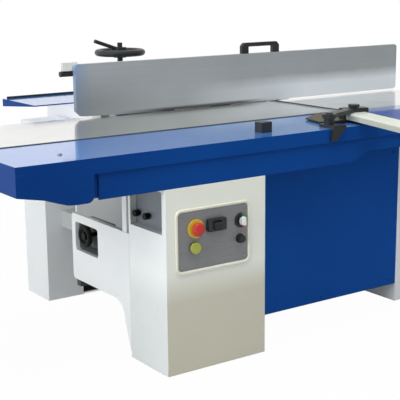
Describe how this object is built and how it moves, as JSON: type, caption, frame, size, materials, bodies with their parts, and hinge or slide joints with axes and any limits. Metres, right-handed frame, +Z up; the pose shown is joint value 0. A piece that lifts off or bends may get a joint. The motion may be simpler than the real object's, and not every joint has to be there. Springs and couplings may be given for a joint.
{
  "type": "combination planer thicknesser",
  "caption": "Floor-standing planer thicknesser: white cabinet base, deep blue front table, long ground planer tables, fence, bridge guard and handwheel.",
  "frame": {"origin": "on the floor under the middle of the machine's outline", "axes": "+X to the right along the tables as seen from the operator's side, +Y away from the operator, +Z up"},
  "size_m": [2.425, 1.6576, 1.0987],
  "materials": {
    "white_paint": "white powder coat",
    "blue_paint": "blue powder coat",
    "beige_paint": "beige enamel",
    "panel_grey": "matt grey",
    "yellow_plastic": "moulded",
    "red_plastic": "moulded",
    "green_plastic": "moulded",
    "light_plastic": "moulded",
    "black_plastic": "moulded, fine grain",
    "ground_iron": "ground top",
    "fence_aluminium": "anodised",
    "machined_steel": "machined",
    "dark_steel": "dark enamel",
    "frame_steel": "grey primer",
    "motor_paint": "grey-blue enamel",
    "black_steel": "black enamel",
    "cream_paint": "cream enamel",
    "brown_laminate": "laminated board",
    "belt_rubber": "flat belt"
  },
  "bodies": {
    "machine": {"control_cabinet": "white_paint", "panel_bezel": "beige_paint", "panel_plate": "panel_grey", "estop_collar": "yellow_plastic", "switch_housings": "black_plastic", "recess_plate": "panel_grey", "left_side_wall": "white_paint", "window_pocket": "dark_steel", "table_post": "white_paint", "front_cover": "blue_paint", "right_column": "white_paint", "rear_legs": "white_paint", "base_rails": "frame_steel", "front_plate": "frame_steel", "rear_plate": "frame_steel", "front_table": "blue_paint", "lower_panel": "blue_paint", "outfeed_table": "ground_iron", "rear_shelf": "blue_paint", "bearing_housings": "dark_steel", "drive_belt": "belt_rubber", "motor": "motor_paint", "belt_guard": "white_paint", "feed_chain": "dark_steel", "feed_gearmotor": "motor_paint", "pressure_bars": "machined_steel", "bed_support": "frame_steel", "lift_chain": "dark_steel", "fence_guide": "dark_steel", "guard_bracket": "black_steel"},
    "estop": {"estop_button": "red_plastic"},
    "start": {"start_button": "green_plastic"},
    "rocker": {"rocker_switch": "black_plastic"},
    "selector": {"selector_knob": "light_plastic"},
    "dial": {"dial_knob": "black_plastic"},
    "feed_pull": {"feed_knob": "black_plastic"},
    "feed_lock": {"lock_knob": "black_plastic"},
    "clamp_wheel": {"window_wheel": "black_plastic"},
    "infeed": {"infeed_table": "ground_iron"},
    "depth": {"depth_screw": "black_steel"},
    "cutter": {"cutterblock": "machined_steel", "knives": "machined_steel", "cutter_pulley": "machined_steel"},
    "motor_rotor": {"motor_pulley": "machined_steel"},
    "roller_in": {"infeed_roller": "machined_steel"},
    "roller_out": {"outfeed_roller": "machined_steel"},
    "gear_out": {"gear_sprocket": "machined_steel"},
    "fingers": {"kickback_fingers": "machined_steel"},
    "bed": {"thicknesser_bed": "ground_iron"},
    "bed_screw": {"lead_screw": "machined_steel"},
    "bed_wheel": {"handwheel": "black_steel"},
    "fence_carriage": {"fence_bar": "machined_steel"},
    "fence": {"fence_plate": "fence_aluminium", "fence_handle": "black_plastic"},
    "fence_tilt_lock": {"tilt_lever": "fence_aluminium"},
    "fence_clamp": {"fence_lock_lever": "black_plastic"},
    "guard_swing_arm": {"guard_arm": "black_steel", "guard_board": "brown_laminate"},
    "guard": {"guard_bar": "cream_paint"},
    "guard_clamp": {"guard_knob": "black_plastic"}
  },
  "joints": [
    {"name": "estop_press", "type": "slide", "parent": "machine", "child": "estop", "axis": [0, 1, 0], "range_m": [0, 0.006], "stiffness_N_per_m": 2500},
    {"name": "start_press", "type": "slide", "parent": "machine", "child": "start", "axis": [0, 1, 0], "range_m": [0, 0.004], "stiffness_N_per_m": 1500},
    {"name": "rocker_rock", "type": "hinge", "parent": "machine", "child": "rocker", "pos_m": [-0.47036, -0.53921, 0.519], "axis": [1, 0, 0], "range_deg": [-10, 10]},
    {"name": "selector_turn", "type": "hinge", "parent": "machine", "child": "selector", "pos_m": [-0.36036, -0.53121, 0.517], "axis": [0, 1, 0], "range_deg": [-60, 60]},
    {"name": "dial_turn", "type": "hinge", "parent": "machine", "child": "dial", "pos_m": [-0.36536, -0.53121, 0.452], "axis": [0, 1, 0], "range_deg": [-135, 135]},
    {"name": "feed_pull_slide", "type": "slide", "parent": "machine", "child": "feed_pull", "axis": [-1, 0, 0], "range_m": [0, 0.012]},
    {"name": "feed_lock_turn", "type": "hinge", "parent": "machine", "child": "feed_lock", "pos_m": [-0.65236, -0.37621, 0.544], "axis": [1, 0, 0], "range_deg": [-90, 90]},
    {"name": "clamp_wheel_turn", "type": "hinge", "parent": "machine", "child": "clamp_wheel", "pos_m": [-0.65236, 0.07079, 0.383], "axis": [1, 0, 0], "range_deg": [-120, 120]},
    {"name": "infeed_slide", "type": "slide", "parent": "machine", "child": "infeed", "axis": [0.9903, 0, -0.1392], "range_m": [-0.028, 0.017]},
    {"name": "depth_screw_spin", "type": "hinge", "parent": "machine", "child": "depth", "pos_m": [0.81764, 0.06129, 0.716], "axis": [0.9903, 0, -0.1392], "range_deg": [-2530, 1540]},
    {"name": "cutter_spin", "type": "hinge", "parent": "machine", "child": "cutter", "pos_m": [0.42764, 0.06879, 0.7425], "axis": [0, 1, 0], "continuous": true},
    {"name": "motor_spin", "type": "hinge", "parent": "machine", "child": "motor_rotor", "pos_m": [0.42764, 0.36879, 0.332], "axis": [0, 1, 0], "continuous": true},
    {"name": "infeed_roller_spin", "type": "hinge", "parent": "machine", "child": "roller_in", "pos_m": [0.31264, 0.06879, 0.72], "axis": [0, 1, 0], "continuous": true},
    {"name": "outfeed_roller_spin", "type": "hinge", "parent": "machine", "child": "roller_out", "pos_m": [0.54264, 0.06879, 0.72], "axis": [0, 1, 0], "continuous": true},
    {"name": "gear_spin", "type": "hinge", "parent": "machine", "child": "gear_out", "pos_m": [0.42764, -0.21121, 0.6], "axis": [0, 1, 0], "continuous": true},
    {"name": "fingers_swing", "type": "hinge", "parent": "machine", "child": "fingers", "pos_m": [0.22764, 0.06879, 0.72], "axis": [0, -1, 0], "range_deg": [0, 45]},
    {"name": "bed_lift", "type": "slide", "parent": "machine", "child": "bed", "axis": [0, 0, 1], "range_m": [-0.1, 0.11]},
    {"name": "bed_screw_spin", "type": "hinge", "parent": "machine", "child": "bed_screw", "pos_m": [0.42764, 0.06129, 0.2], "axis": [0, 0, 1], "range_deg": [-7930, 7210]},
    {"name": "handwheel_spin", "type": "hinge", "parent": "machine", "child": "bed_wheel", "pos_m": [-0.19836, 0.55379, 0.9], "axis": [0, 0, 1], "range_deg": [-7930, 7210]},
    {"name": "fence_slide", "type": "slide", "parent": "machine", "child": "fence_carriage", "axis": [0, 1, 0], "range_m": [-0.3, 0]},
    {"name": "fence_tilt", "type": "hinge", "parent": "fence_carriage", "child": "fence", "pos_m": [0.22764, 0.31679, 0.826], "axis": [-1, 0, 0], "range_deg": [0, 45]},
    {"name": "tilt_lock_turn", "type": "hinge", "parent": "fence", "child": "fence_tilt_lock", "pos_m": [-0.54436, 0.30879, 1], "axis": [0, 1, 0], "range_deg": [-30, 60]},
    {"name": "fence_clamp_turn", "type": "hinge", "parent": "machine", "child": "fence_clamp", "pos_m": [0.22764, 0.39879, 0.87], "axis": [0, 0, 1], "range_deg": [0, 60]},
    {"name": "guard_swing", "type": "hinge", "parent": "machine", "child": "guard_swing_arm", "pos_m": [0.08264, -0.49121, 0.84], "axis": [0, 0, 1], "range_deg": [-15, 15]},
    {"name": "guard_slide", "type": "slide", "parent": "guard_swing_arm", "child": "guard", "axis": [0.2419, 0.9703, 0], "range_m": [0, 0.38]},
    {"name": "guard_clamp_turn", "type": "hinge", "parent": "guard_swing_arm", "child": "guard_clamp", "pos_m": [0.27764, -0.41621, 0.86], "axis": [0, 0, 1], "range_deg": [-180, 180]}
  ],
  "couplings": [
    {"joint": "motor_spin", "follows": "cutter_spin", "ratio": 0.66667},
    {"joint": "outfeed_roller_spin", "follows": "infeed_roller_spin", "ratio": 1},
    {"joint": "gear_spin", "follows": "infeed_roller_spin", "ratio": 1},
    {"joint": "bed_screw_spin", "follows": "bed_lift", "rad_per_m": -1256.6},
    {"joint": "handwheel_spin", "follows": "bed_lift", "rad_per_m": -1256.6},
    {"joint": "depth_screw_spin", "follows": "infeed_slide", "rad_per_m": 1570.8}
  ]
}
